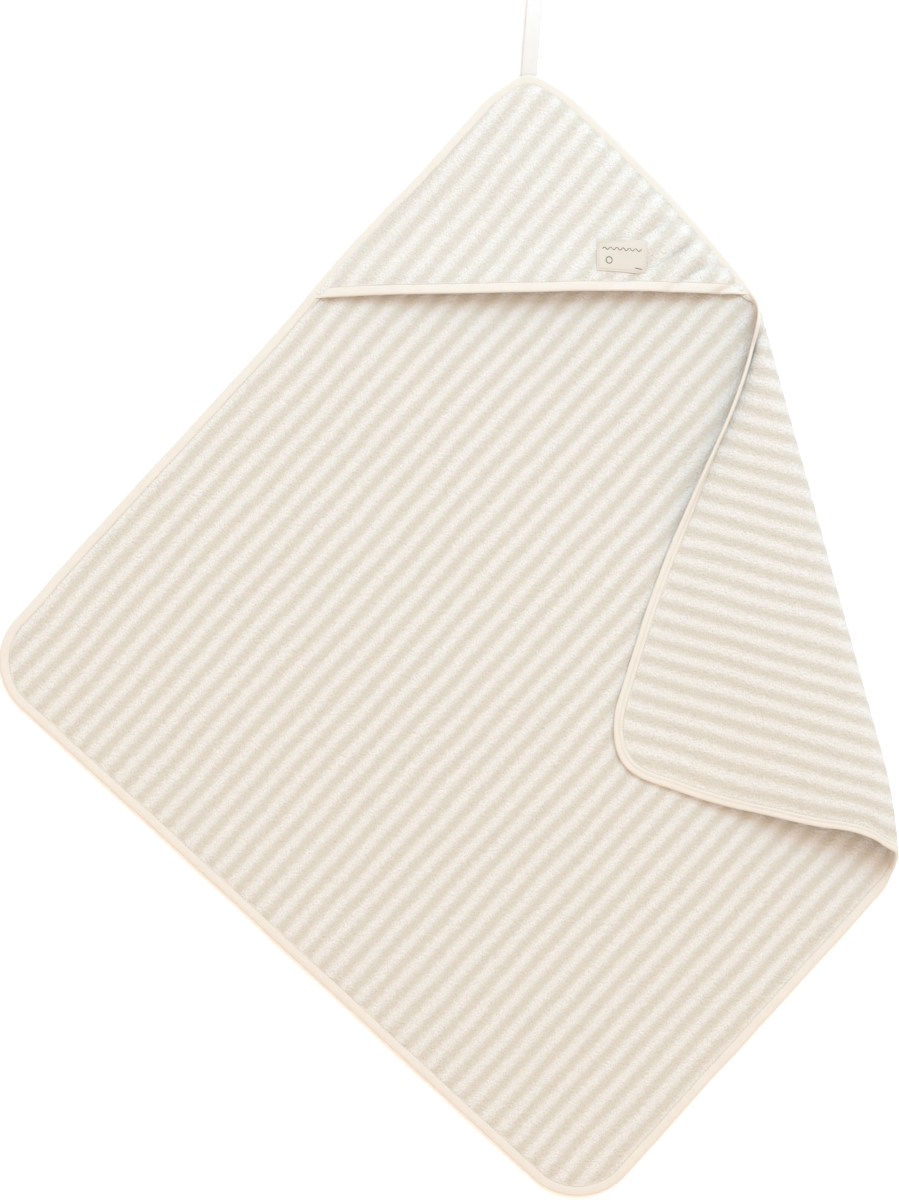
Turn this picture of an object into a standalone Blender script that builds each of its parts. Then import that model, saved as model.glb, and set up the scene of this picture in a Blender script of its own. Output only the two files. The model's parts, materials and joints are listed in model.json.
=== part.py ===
"""Hooded baby towel lying on a floor with its right corner folded over the front.

A square of striped terry is bound all round with a folded tape. A triangle of the same
terry is sewn over the top corner as a hood, and a tape loop hangs from that corner.

Cloth coordinates (u, v) run along the two edges of the flat square, from its centre.
Fold coordinates (along, across) run along the crease and square to it, on the cloth as it
would lie unfolded. The front of the cloth has positive heights and the back negative ones.
Metres, +Z up, +Y towards the hood, origin under the middle of the towel on the floor.
"""

import math

import bmesh
import bpy
from mathutils import Vector

# Driving dimensions
SIDE = 0.800
CORNER_RADIUS = 0.062
CLOTH = 0.0040
GAP = 0.0003
TILT = math.radians(47.7)
TOWEL_CENTRE = Vector((0.0985, -0.0481))

# Corner fold: the roll of cloth along the crease grows from the hood end to the open end
FOLD_TILT = math.radians(105.7)
FOLD_OFFSET = 0.2804
ROLL_HOOD_END = (0.254, 0.0062)
ROLL_OPEN_END = (-0.294, 0.0150)
SETTLE_LENGTH = 0.200
REST_HEIGHT = CLOTH + GAP
ROLL_STEPS = 12
SETTLE_STEP = 0.012

# The fold draws the hood-side edge of the towel inwards
PULL_DEPTH = 0.0282
PULL_CENTRE = -0.008
PULL_ALONG = 0.153
PULL_ACROSS = 0.193

# Binding tape, folded over every edge
BINDING_WIDTH = 0.0120
TAPE = 0.0005
LIP = 0.0016
LIP_START = 0.0008
FLANGE = BINDING_WIDTH - TAPE
PANEL_INSET = BINDING_WIDTH + GAP
THREAD_INSET = 0.0092
THREAD_WIDTH = 0.0007
THREAD_HEIGHT = 0.0004

# Hood
HOOD_LEG = 0.318
HOOD_INSET = PANEL_INSET + GAP
HOOD_ARCH = 0.0125
HOOD_MIDDLE = CLOTH + GAP + CLOTH / 2
HOOD_GRID = 0.030

# Label on the hood
LABEL_SIZE = (0.050, 0.030)
LABEL_CENTRE = (0.323, -0.2015)
LABEL_THICKNESS = 0.0006
LABEL_SEAM_INSET = 0.0020
LABEL_STEPS = 4

# Hanging loop
LOOP_WIDTH = 0.0150
LOOP_LENGTH = 0.095
LOOP_TAPE = 0.0008
LOOP_SEWN = 0.004
LOOP_LEAN = math.radians(4.5)
LOOP_BULGE = 0.0095
LOOP_ROOT_HEIGHT = 0.0020
LOOP_DROP_LENGTH = 0.020
LOOP_ROUNDNESS = 0.7
LOOP_CLEARANCE = 3 * GAP
LOOP_STEPS = 24

# Spacing of the cross-sections along straight edges
PANEL_SPACING = 0.025
BINDING_SPACING = 0.025
CORNER_SPACING = 0.010
ROLL_SPACING = 0.003
ROLL_TAPE_PARTS = 6
ARC_STEP = math.radians(11.25)
HALVINGS = 60

HALF = SIDE / 2
STRAIGHT = SIDE - 2 * CORNER_RADIUS
HALF_ARC = CORNER_RADIUS * math.pi / 4
QUARTER = STRAIGHT + 2 * HALF_ARC
PERIMETER = 4 * QUARTER


def smooth(value):
    """Ease from 0 to 1 as value goes from 0 to 1."""
    value = min(max(value, 0.0), 1.0)
    return value * value * (3.0 - 2.0 * value)


# ---------------------------------------------------------------- where the cloth lies

def spread(u, v):
    """Fold coordinates of a cloth point on the unfolded towel."""
    pull = PULL_DEPTH * math.exp(-((v - PULL_CENTRE) / PULL_ALONG) ** 2)
    pull *= math.exp(-((HALF - u) / PULL_ACROSS) ** 2)
    turn = FOLD_TILT - TILT
    along = (u - pull) * math.cos(turn) - v * math.sin(turn)
    across = (u - pull) * math.sin(turn) + v * math.cos(turn) - FOLD_OFFSET
    return along, across


def roll_radius(along):
    """Radius of the roll's middle surface at a place along the crease."""
    start, small = ROLL_HOOD_END
    end, large = ROLL_OPEN_END
    return small + (large - small) * (along - start) / (end - start)


def roll_start(along):
    """Where the cloth leaves the floor, measured across the crease."""
    return -roll_radius(along) * math.pi / 2


def world_xy(along, out):
    """Floor position of fold coordinates."""
    across = out + FOLD_OFFSET
    x = along * math.cos(FOLD_TILT) + across * math.sin(FOLD_TILT)
    y = along * math.sin(FOLD_TILT) - across * math.cos(FOLD_TILT)
    return TOWEL_CENTRE + Vector((x, y))


def folded(along, across, height):
    """World point of the folded towel, height off the cloth's middle surface."""
    radius = roll_radius(along)
    start = roll_start(along)
    reach = across - start
    if reach <= 0.0:
        out, lift, slant = across, 0.0, 0.0
    elif reach < math.pi * radius:
        slant = reach / radius
        out = start + radius * math.sin(slant)
        lift = radius * (1.0 - math.cos(slant))
    else:
        past = reach - math.pi * radius
        fall = 2.0 * radius - REST_HEIGHT
        share = min(past / SETTLE_LENGTH, 1.0)
        slope = fall * 6.0 * share * (1.0 - share) / SETTLE_LENGTH
        out = start - past
        lift = 2.0 * radius - fall * smooth(share)
        slant = math.pi + math.atan(slope)
    out -= height * math.sin(slant)
    lift += height * math.cos(slant)
    point = world_xy(along, out)
    return Vector((point.x, point.y, CLOTH / 2 + lift))


def folded_cloth(u, v, height):
    """World point of a cloth point on the folded towel."""
    along, across = spread(u, v)
    return folded(along, across, height)


def hood_cloth(u, v, height):
    """World point of a cloth point on the hood, which arches towards its mouth."""
    along, across = spread(u, v)
    point = world_xy(along, across)
    arch = HOOD_ARCH * 4.0 * (HALF + v) * (HALF - u) / HOOD_LEG ** 2
    return Vector((point.x, point.y, HOOD_MIDDLE + arch + height))


# ---------------------------------------------------------------- outline of the square

def edge_point(distance, inset):
    """Cloth point inside the towel's edge, at a distance along it from the right corner."""
    quarter, rest = divmod(distance, QUARTER)
    middle = HALF - CORNER_RADIUS
    if rest < HALF_ARC:
        angle = math.pi / 4 + rest / CORNER_RADIUS
        base = Vector((middle, middle))
    elif rest < HALF_ARC + STRAIGHT:
        angle = math.pi / 2
        base = Vector((middle - (rest - HALF_ARC), middle))
    else:
        angle = math.pi / 2 + (rest - HALF_ARC - STRAIGHT) / CORNER_RADIUS
        base = Vector((-middle, middle))
    out = Vector((math.cos(angle), math.sin(angle)))
    point = base + out * (CORNER_RADIUS - inset)
    turns = int(quarter) % 4
    for _ in range(turns):
        point = Vector((-point.y, point.x))
    return point


def edge_stations(first, last, spacing):
    """Distances along the edge from first to last, closer together round the corners."""
    breaks = [first, last]
    for quarter in range(-4, 5):
        for place in (HALF_ARC, HALF_ARC + STRAIGHT):
            mark = quarter * QUARTER + place
            if first < mark < last:
                breaks.append(mark)
    breaks.sort()
    stations = [first]
    for low, high in zip(breaks, breaks[1:]):
        rest = ((low + high) / 2) % QUARTER
        on_straight = HALF_ARC < rest < HALF_ARC + STRAIGHT
        step = spacing if on_straight else min(spacing, CORNER_RADIUS * ARC_STEP)
        count = max(1, math.ceil((high - low) / step - 1e-6))
        stations += [low + (high - low) * i / count for i in range(1, count + 1)]
    return stations


def crossing(low, high, turns, inset):
    """Distance along the edge, between low and high, where the cloth has rolled by turns."""
    def rolled(distance):
        point = edge_point(distance, inset)
        along, across = spread(point.x, point.y)
        return across - roll_start(along) - turns * math.pi * roll_radius(along)
    rising = rolled(high) > 0.0
    for _ in range(HALVINGS):
        middle = (low + high) / 2
        if (rolled(middle) > 0.0) == rising:
            high = middle
        else:
            low = middle
    return (low + high) / 2


# ---------------------------------------------------------------- mesh building

def outline_sheet():
    """Flat mesh of the whole towel in fold coordinates; full-thickness faces are tagged 1."""
    sheet = bmesh.new()
    full = sheet.faces.layers.int.new("full")
    rings = []
    stations = edge_stations(0.0, PERIMETER, PANEL_SPACING)[:-1]
    for inset in (LIP_START, PANEL_INSET):
        points = [edge_point(distance, inset) for distance in stations]
        rings.append([sheet.verts.new((*spread(p.x, p.y), 0.0)) for p in points])
    outer, inner = rings
    for i in range(len(stations)):
        before = i - 1
        sheet.faces.new((outer[before], outer[i], inner[i], inner[before]))
    sheet.faces.new(inner)[full] = 1
    return sheet, full


def cut(sheet, point, normal):
    """Cut the flat mesh along a line."""
    geometry = sheet.verts[:] + sheet.edges[:] + sheet.faces[:]
    bmesh.ops.bisect_plane(sheet, geom=geometry, dist=1e-7, plane_co=point, plane_no=normal)


def cut_roll(sheet, turns, shift):
    """Cut along the line where the cloth has rolled by turns of a half circle, plus shift."""
    def across(along):
        return roll_start(along) + turns * math.pi * roll_radius(along) + shift
    slope = across(1.0) - across(0.0)
    cut(sheet, (0.0, across(0.0), 0.0), (-slope, 1.0, 0.0))


def solid_from_sheet(sheet, faces, half_height, place):
    """Closed solid over flat faces, each as thick as half_height(face) says, both ways."""
    levels = {}
    sides = {}
    for face in faces:
        height = half_height(face)
        for vert in face.verts:
            levels.setdefault(vert, set()).update((height, -height))
        for edge in face.edges:
            sides.setdefault(edge, []).append(height)
    solid = bmesh.new()
    made = {}

    def corner(vert, height):
        if (vert, height) not in made:
            made[vert, height] = solid.verts.new(place(vert.co.x, vert.co.y, height))
        return made[vert, height]

    def wall(edge, low, high):
        start, end = edge.verts
        rising = [corner(start, h) for h in sorted(levels[start]) if low <= h <= high]
        falling = [corner(end, h) for h in sorted(levels[end], reverse=True) if low <= h <= high]
        solid.faces.new(rising + falling)

    for face in faces:
        height = half_height(face)
        solid.faces.new([corner(vert, height) for vert in face.verts])
        solid.faces.new([corner(vert, -height) for vert in reversed(face.verts)])
    for edge, heights in sides.items():
        if len(heights) == 1:
            wall(edge, -heights[0], heights[0])
        elif heights[0] != heights[1]:
            wall(edge, min(heights), max(heights))
            wall(edge, -max(heights), -min(heights))
    bmesh.ops.recalc_face_normals(solid, faces=solid.faces)
    return solid


def swept_solid(profile, stations, place):
    """Closed solid of a profile of (inset, height) corners swept along the stations."""
    solid = bmesh.new()
    rings = []
    for station in stations:
        rings.append([solid.verts.new(place(station, *corner)) for corner in profile])
    count = len(profile)
    for before, after in zip(rings, rings[1:]):
        for i in range(count):
            solid.faces.new((before[i - 1], before[i], after[i], after[i - 1]))
    solid.faces.new(rings[0])
    solid.faces.new(rings[-1])
    bmesh.ops.recalc_face_normals(solid, faces=solid.faces)
    return solid


def tape_profile(parts):
    """Cross-section of the tape folded over an edge, each face of it in so many parts."""
    inner = LIP / 2 + GAP
    outer = inner + TAPE
    shares = [i / parts for i in range(parts + 1)]
    outside = [share * (FLANGE + TAPE) - TAPE for share in shares]
    inside = [share * FLANGE for share in shares]
    profile = [(inset, -outer) for inset in reversed(outside)]
    profile += [(inset, outer) for inset in outside]
    profile += [(inset, inner) for inset in reversed(inside)]
    profile += [(inset, -inner) for inset in inside]
    return profile


def thread_profile(side):
    """Cross-section of the seam thread on the front (side 1) or the back (side -1)."""
    low = side * (LIP / 2 + GAP + TAPE + GAP)
    high = low + side * THREAD_HEIGHT
    return [(THREAD_INSET, low), (THREAD_INSET + THREAD_WIDTH, low),
            (THREAD_INSET + THREAD_WIDTH, high), (THREAD_INSET, high)]


# ---------------------------------------------------------------- objects

def material(name, colour, roughness):
    """Plain surface of one colour."""
    made = bpy.data.materials.new(name)
    made.use_nodes = True
    shader = made.node_tree.nodes["Principled BSDF"]
    shader.inputs["Base Color"].default_value = (*colour, 1.0)
    shader.inputs["Roughness"].default_value = roughness
    shader.inputs["Metallic"].default_value = 0.0
    return made


def add_object(name, solid, surface, pivot=Vector((0.0, 0.0, 0.0))):
    """Object from a solid in world coordinates, with its origin at the pivot."""
    bmesh.ops.translate(solid, verts=solid.verts, vec=-pivot)
    mesh = bpy.data.meshes.new(name)
    solid.to_mesh(mesh)
    solid.free()
    mesh.materials.append(surface)
    added = bpy.data.objects.new(name, mesh)
    added.location = pivot
    bpy.context.scene.collection.objects.link(added)
    return added


def fold_pivot(along):
    """Point of the corner's hinge line: the roll's outermost line at mid thickness."""
    radius = roll_radius(along)
    point = world_xy(along, roll_start(along) + radius)
    return Vector((point.x, point.y, CLOTH / 2 + radius))


def hood_pivot():
    """Point of the hood's hinge line: its corner, on the towel's front."""
    point = hood_cloth(HALF - HOOD_INSET, HOOD_INSET - HALF, 0.0)
    return Vector((point.x, point.y, CLOTH + GAP))


def loop_root():
    """Place on the floor under the loop's seam, just outside the top corner."""
    point = edge_point(3 * QUARTER, -TAPE)
    along, across = spread(point.x, point.y)
    place = world_xy(along, across)
    return Vector((place.x, place.y + LOOP_CLEARANCE))


def loop_pivot():
    """Point of the loop's hinge line, level with the top of the towel at its corner."""
    root = loop_root()
    return Vector((root.x, root.y, CLOTH + GAP))


def build_terry(terry, pivot):
    """The towel's terry in three nodes: flat panel, roll along the crease, folded corner."""
    sheet, full = outline_sheet()
    for turns in (0, 1):
        cut_roll(sheet, turns, -GAP / 2)
        cut_roll(sheet, turns, GAP / 2)
    for step in range(1, ROLL_STEPS):
        cut_roll(sheet, step / ROLL_STEPS, 0.0)
    for step in range(1, math.ceil(SETTLE_LENGTH / SETTLE_STEP) + 1):
        cut_roll(sheet, 1, step * SETTLE_STEP)
    groups = {"body_panel": [], "fold_roll": [], "corner_panel": []}
    for face in sheet.faces:
        centre = face.calc_center_median()
        reach = centre.y - roll_start(centre.x)
        turn = math.pi * roll_radius(centre.x)
        if reach < -GAP / 2:
            groups["body_panel"].append(face)
        elif GAP / 2 < reach < turn - GAP / 2:
            groups["fold_roll"].append(face)
        elif reach > turn + GAP / 2:
            groups["corner_panel"].append(face)
    for name, faces in groups.items():
        solid = solid_from_sheet(
            sheet, faces, lambda face: CLOTH / 2 if face[full] else LIP / 2, folded)
        if name == "corner_panel":
            add_object(name, solid, terry, pivot)
        else:
            add_object(name, solid, terry)
    sheet.free()


def build_edge_tape(tape, thread, pivot):
    """Binding and seam thread: round the flat towel, over the roll, round the corner."""
    def place(distance, inset, height):
        point = edge_point(distance, inset)
        return folded_cloth(point.x, point.y, height)

    open_start = crossing(0.0, QUARTER, 1, FLANGE)
    open_end = crossing(0.0, QUARTER, 0, -TAPE)
    hood_start = crossing(-QUARTER, 0.0, 0, -TAPE)
    hood_end = crossing(-QUARTER, 0.0, 1, FLANGE)
    runs = {
        "edge": (open_end, PERIMETER + hood_start, BINDING_SPACING, 1, 1),
        "fold_open_end": (open_start, open_end, ROLL_SPACING, ROLL_TAPE_PARTS, -1),
        "fold_hood_end": (hood_start, hood_end, ROLL_SPACING, ROLL_TAPE_PARTS, -1),
        "corner": (hood_end, open_start, CORNER_SPACING, 1, -1),
    }
    for run, (first, last, spacing, parts, side) in runs.items():
        stations = edge_stations(first + GAP / 2, last - GAP / 2, spacing)
        origin = pivot if run == "corner" else Vector((0.0, 0.0, 0.0))
        binding = swept_solid(tape_profile(parts), stations, place)
        add_object(run + "_binding", binding, tape, origin)
        if run in ("edge", "corner"):
            seam = swept_solid(thread_profile(side), stations, place)
            add_object(run + "_stitching", seam, thread, origin)


def hood_sheet():
    """Flat mesh of the hood in cloth coordinates, cut into a grid; mouth lip tagged 0."""
    sheet = bmesh.new()
    full = sheet.faces.layers.int.new("full")
    reach = HOOD_LEG - LIP_START * math.sqrt(2)
    steps = math.ceil(math.pi / 2 / ARC_STEP)
    radius = CORNER_RADIUS - HOOD_INSET
    middle = HALF - CORNER_RADIUS
    outline = [(HALF - reach + HOOD_INSET, HOOD_INSET - HALF)]
    for i in range(steps + 1):
        angle = math.pi / 2 * (i / steps - 1.0)
        outline.append((middle + radius * math.cos(angle), -middle + radius * math.sin(angle)))
    outline.append((HALF - HOOD_INSET, reach - HOOD_INSET - HALF))
    sheet.faces.new([sheet.verts.new((u, v, 0.0)) for u, v in outline])[full] = 1
    mouth = HOOD_LEG - PANEL_INSET * math.sqrt(2)
    cut(sheet, (HALF, mouth - HALF, 0.0), (-1.0, 1.0, 0.0))
    for face in sheet.faces:
        centre = face.calc_center_median()
        if (HALF + centre.y) + (HALF - centre.x) > mouth:
            face[full] = 0
    for i in range(1, math.ceil(HOOD_LEG / HOOD_GRID)):
        cut(sheet, (HALF - i * HOOD_GRID, 0.0, 0.0), (1.0, 0.0, 0.0))
        cut(sheet, (0.0, i * HOOD_GRID - HALF, 0.0), (0.0, 1.0, 0.0))
    return sheet, full


def build_hood(terry, tape, thread, pivot):
    """Hood triangle, the binding along its mouth and that binding's seam."""
    sheet, full = hood_sheet()
    faces = sheet.faces[:]
    panel = solid_from_sheet(
        sheet, faces, lambda face: CLOTH / 2 if face[full] else LIP / 2, hood_cloth)
    add_object("hood_panel", panel, terry, pivot)
    sheet.free()

    def place(fraction, inset, height):
        reach = HOOD_LEG - inset * math.sqrt(2)
        from_left = HOOD_INSET + fraction * (reach - 2 * HOOD_INSET)
        return hood_cloth(HALF - reach + from_left, from_left - HALF, height)

    count = math.ceil(HOOD_LEG * math.sqrt(2) / HOOD_GRID)
    stations = [i / count for i in range(count + 1)]
    binding = swept_solid(tape_profile(1), stations, place)
    add_object("hood_edge_binding", binding, tape, pivot)
    seam = swept_solid(thread_profile(1), stations, place)
    add_object("hood_edge_stitching", seam, thread, pivot)


def label_point(x, y, height):
    """World point on the label, x and y from its centre, height above the hood's front."""
    u = LABEL_CENTRE[0] + x * math.cos(TILT) + y * math.sin(TILT)
    v = LABEL_CENTRE[1] + x * math.sin(TILT) - y * math.cos(TILT)
    return hood_cloth(u, v, CLOTH / 2 + height)


def build_label(label, thread, pivot):
    """Woven label and the thread that holds it down."""
    width, depth = LABEL_SIZE
    shares = [i / LABEL_STEPS - 0.5 for i in range(LABEL_STEPS + 1)]
    stations = [depth * share for share in shares]
    across = [width * share for share in shares]
    profile = [(x, GAP) for x in across]
    profile += [(x, GAP + LABEL_THICKNESS) for x in reversed(across)]

    def patch(y, x, height):
        return label_point(x, y, height)

    add_object("hood_label", swept_solid(profile, stations, patch), label, pivot)

    low = 2 * GAP + LABEL_THICKNESS
    high = low + THREAD_HEIGHT
    seam = bmesh.new()
    rings = []
    for inset, height in ((0, low), (THREAD_WIDTH, low), (THREAD_WIDTH, high), (0, high)):
        half_x = width / 2 - LABEL_SEAM_INSET - inset
        half_y = depth / 2 - LABEL_SEAM_INSET - inset
        corners = [(half_x, half_y), (-half_x, half_y), (-half_x, -half_y), (half_x, -half_y)]
        ring = []
        for i in range(4):
            start, end = Vector(corners[i - 1]), Vector(corners[i])
            for step in range(LABEL_STEPS):
                point = start.lerp(end, step / LABEL_STEPS)
                ring.append(seam.verts.new(label_point(point.x, point.y, height)))
        rings.append(ring)
    for i in range(4):
        for j in range(4 * LABEL_STEPS):
            corners = (rings[i - 1][j - 1], rings[i - 1][j], rings[i][j], rings[i][j - 1])
            seam.faces.new(corners)
    bmesh.ops.recalc_face_normals(seam, faces=seam.faces)
    add_object("label_stitching", seam, thread, pivot)


def loop_section():
    """Side view of the loop: outer and inner outlines as matching (distance, height) lists."""
    def strands(distance, first, last):
        drop = smooth(distance / LOOP_DROP_LENGTH)
        lower = LOOP_ROOT_HEIGHT + (LOOP_TAPE / 2 - LOOP_ROOT_HEIGHT) * drop
        share = min(max((distance - first) / (last - first), 0.0), 1.0)
        bulge = LOOP_BULGE * math.sin(math.pi * share) ** LOOP_ROUNDNESS
        upper = lower + LOOP_TAPE + bulge
        return lower, upper

    outlines = []
    end = LOOP_LENGTH - LOOP_TAPE
    for start, stop, offset in ((0.0, LOOP_LENGTH, LOOP_TAPE / 2), (LOOP_SEWN, end, -LOOP_TAPE / 2)):
        below = []
        above = []
        for i in range(LOOP_STEPS + 1):
            distance = start + (stop - start) * i / LOOP_STEPS
            lower, upper = strands(distance, LOOP_SEWN, end)
            below.append((distance, lower - offset))
            above.append((distance, upper + offset))
        outlines.append(below + above[::-1])
    return outlines


def build_loop(tape, pivot):
    """Hanging loop: one tape doubled back on itself, its ends sewn together at the corner."""
    root = loop_root()
    forward = Vector((math.sin(LOOP_LEAN), math.cos(LOOP_LEAN)))
    sideways = Vector((math.cos(LOOP_LEAN), -math.sin(LOOP_LEAN)))
    solid = bmesh.new()
    rings = []
    outer, inner = loop_section()
    for outline, side in ((outer, -1), (outer, 1), (inner, 1), (inner, -1)):
        ring = []
        for distance, height in outline:
            place = root + forward * distance + sideways * side * LOOP_WIDTH / 2
            ring.append(solid.verts.new((place.x, place.y, height)))
        rings.append(ring)
    for i in range(4):
        for j in range(len(outer)):
            corners = (rings[i - 1][j - 1], rings[i - 1][j], rings[i][j], rings[i][j - 1])
            solid.faces.new(corners)
    bmesh.ops.remove_doubles(solid, verts=solid.verts, dist=1e-6)
    bmesh.ops.recalc_face_normals(solid, faces=solid.faces)
    add_object("hanging_loop", solid, tape, pivot)


def main():
    for old in list(bpy.data.objects):
        bpy.data.objects.remove(old, do_unlink=True)
    terry = material("striped_terry", (0.76, 0.70, 0.61), 0.95)
    binding = material("cream_binding", (0.86, 0.80, 0.70), 0.90)
    thread = material("cream_thread", (0.80, 0.73, 0.62), 0.85)
    cotton = material("label_cotton", (0.83, 0.77, 0.66), 0.90)
    white = material("white_loop_tape", (0.88, 0.88, 0.87), 0.85)

    fold = fold_pivot(0.0)
    hood = hood_pivot()
    build_terry(terry, fold)
    build_edge_tape(binding, thread, fold)
    build_hood(terry, binding, thread, hood)
    build_label(cotton, thread, hood)
    build_loop(white, loop_pivot())


main()
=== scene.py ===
import json
import math

import bmesh
import bpy
import numpy as np
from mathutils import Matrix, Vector


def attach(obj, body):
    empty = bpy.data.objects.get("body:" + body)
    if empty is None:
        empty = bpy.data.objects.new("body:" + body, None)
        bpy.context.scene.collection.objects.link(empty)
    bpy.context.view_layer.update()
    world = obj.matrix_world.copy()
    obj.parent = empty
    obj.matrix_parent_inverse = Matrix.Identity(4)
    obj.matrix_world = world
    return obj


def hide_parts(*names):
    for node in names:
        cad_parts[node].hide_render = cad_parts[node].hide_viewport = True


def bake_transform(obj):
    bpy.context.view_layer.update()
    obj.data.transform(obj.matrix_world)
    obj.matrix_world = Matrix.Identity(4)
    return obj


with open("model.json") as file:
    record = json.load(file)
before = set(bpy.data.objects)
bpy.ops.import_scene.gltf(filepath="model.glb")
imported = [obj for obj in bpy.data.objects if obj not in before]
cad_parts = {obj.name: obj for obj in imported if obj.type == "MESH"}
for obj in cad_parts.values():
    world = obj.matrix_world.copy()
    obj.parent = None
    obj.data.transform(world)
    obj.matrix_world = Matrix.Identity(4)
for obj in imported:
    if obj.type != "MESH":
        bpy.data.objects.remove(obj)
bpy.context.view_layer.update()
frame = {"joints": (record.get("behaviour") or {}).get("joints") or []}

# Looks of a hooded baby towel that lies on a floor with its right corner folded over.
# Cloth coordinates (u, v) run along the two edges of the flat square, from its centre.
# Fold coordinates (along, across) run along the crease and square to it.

# ---------------------------------------------------------------- the design's dimensions

SIDE = 0.800
CORNER_RADIUS = 0.062
CLOTH = 0.0040
TILT = math.radians(47.7)
TOWEL_CENTRE = (0.0985, -0.0481)
FOLD_TILT = math.radians(105.7)
FOLD_OFFSET = 0.2804
ROLL_HOOD_END = (0.254, 0.0062)
ROLL_OPEN_END = (-0.294, 0.0150)
SETTLE_LENGTH = 0.200
REST_HEIGHT = CLOTH + 0.0003
PULL_DEPTH = 0.0282
PULL_CENTRE = -0.008
PULL_ALONG = 0.153
PULL_ACROSS = 0.193
HOOD_LEG = 0.318
HOOD_ARCH = 0.0125
LABEL_SIZE = (0.050, 0.030)
LABEL_CENTRE = (0.323, -0.2015)
LOOP_WIDTH = 0.0150
LOOP_LENGTH = 0.095
LOOP_LEAN = math.radians(4.5)

HALF = SIDE / 2
STRAIGHT = SIDE - 2 * CORNER_RADIUS
HALF_ARC = CORNER_RADIUS * math.pi / 4
QUARTER = STRAIGHT + 2 * HALF_ARC
PERIMETER = 4 * QUARTER
HOOD_DEPTH = HOOD_LEG / math.sqrt(2)

# ---------------------------------------------------------------- the looks' dimensions

# Working values: noise lattice, steps of a search, and reach of a normal's probe.
LATTICE = 64
HALVINGS = 50
PROBE = 0.0004

# The terry. PRESS_RAMP is where it swells from pressed to full, in from the edge, and
# SPLIT_TURNS is where it is cut into pieces, in turns round the roll.
CLOTH_CELL = 0.0040
PRESSED_HALF = 0.0010
PRESS_RAMP = (0.0080, 0.0150)
CLOTH_REACH = 0.0030
SPLIT_TURNS = (-0.15, 1.15)
HOOD_LAYER = 2 * PRESSED_HALF
HOOD_CLEARANCE = 0.0001
FOLD_SLAB = 0.0041
HOOD_BLEND = 0.148

# Stripes: how far apart, how far along, and the hood's turn against the towel's.
STRIPE_PERIOD = 0.0186
STRIPE_PHASE = 0.45
HOOD_STRIPE_PERIOD = 0.0194
HOOD_STRIPE_TURN = math.radians(2.7)
HOOD_STRIPE_PHASE = 0.15

# Small shifts and swells of the cloth: height or shift, feature size and seed of each.
WANDER_U = ((0.0011, 0.110, 11), (0.0004, 0.035, 12))
WANDER_V = ((0.0011, 0.110, 13), (0.0004, 0.035, 14))
SWELL = ((0.0020, 0.110, 21), (0.0008, 0.042, 22))
CREASE_CALM = (0.020, 0.100)

# How the folded part settles beyond the roll, and the strip beside the hood that stands up.
# STAND_SPAN holds where the strip starts to rise, stands fully, starts to fall and is down.
# The NOSE_START and NOSE_DEPTH values draw in and round off the fold's pointed end.
SETTLE_SLOPE = 0.78
SETTLE_TIP = 0.236
SETTLE_SHORTEST = 0.012
STAND_SPAN = (-0.098, -0.066, 0.060, 0.215)
STAND_TILT = math.radians(83.0)
STAND_WIDTH = 0.0125
STAND_REACH = 0.060
STAND_CREASE = 0.0030
NOSE_START = 0.414
NOSE_DEPTH = 0.020

# Pushes that shape the outline on the floor: centre, widths and shift of each.
TOP_NUDGE = ((0.0725, 0.4925), (0.019, 0.034), (0.0, 0.0075))
SIDE_NUDGE = ((-0.0947, 0.3379), (0.070, 0.070), (-0.0022, 0.0022))
LEFT_NUDGE = ((-0.2800, -0.2200), (0.280, 0.280), (0.0026, 0.0029))
CORNER_NUDGE = ((0.1660, -0.1700), (0.034, 0.034), (-0.0056, -0.0042))
HEM_NUDGE = ((0.2450, -0.2020), (0.062, 0.036), (0.0, -0.0062))
END_NUDGE = ((0.3880, -0.2400), (0.034, 0.030), (0.0, 0.0062))
FLAP_START = 0.015

# The hood: its gathers near the right end, its loose waves (as above) and its mouth.
GATHER_CENTRE = 0.238
GATHER_SPREAD = 0.074
GATHER_REACH = 0.050
GATHER_START = 0.020
GATHER_PITCH = 0.031
GATHER_DEPTH = 0.0046
GATHER_SLANT = 0.30
GATHER_BEND = (0.007, 0.045, 33)
GROOVE_SHARE = 2.3
LOOSE = ((0.0010, 0.034, 31), (0.0020, 0.080, 32))
LOOSE_START = 0.050
LOWEST_RIPPLE = 0.80
ARCH_START = 0.002
MOUTH_SAG = 0.0026
MOUTH_MARGIN = 0.0040
MOUTH_PRESS = (0.0060, 0.0200)
MOUTH_PRESSED = 0.35
MOUTH_SEWN = 0.95

# The edge tape, its section and its soft puckers. A groove is its depth and width.
BINDING_WIDTH = 0.0106
BINDING_HALF = 0.0018
BINDING_STEP = 0.0017
TAPE = 0.0006
TAPE_SINK = 0.0002
TAPE_PUFF = 0.00025
TAPE_PRESS = 0.0004
TAPE_INNER = 0.0009
INNER_REACH = 0.0014
NOSE_INSET = 0.0016
NOSE_BULGE = 0.0022
SEAM_GROOVE = (0.00050, 0.0008)
FLAT_POINTS = 17
NOSE_POINTS = 9
INNER_POINTS = 6
PUCKER_SHARE = 0.05
PUCKER_NOISE = 0.06
PUCKER_CELL = 0.011
EDGE_PUCKER_SEED = 41
MOUTH_PUCKER_SEED = 42
HOOD_SHARE_RAMP = 0.036
HOOD_SHARE_START = 0.45
RUN_OVERLAP = 0.002

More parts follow.
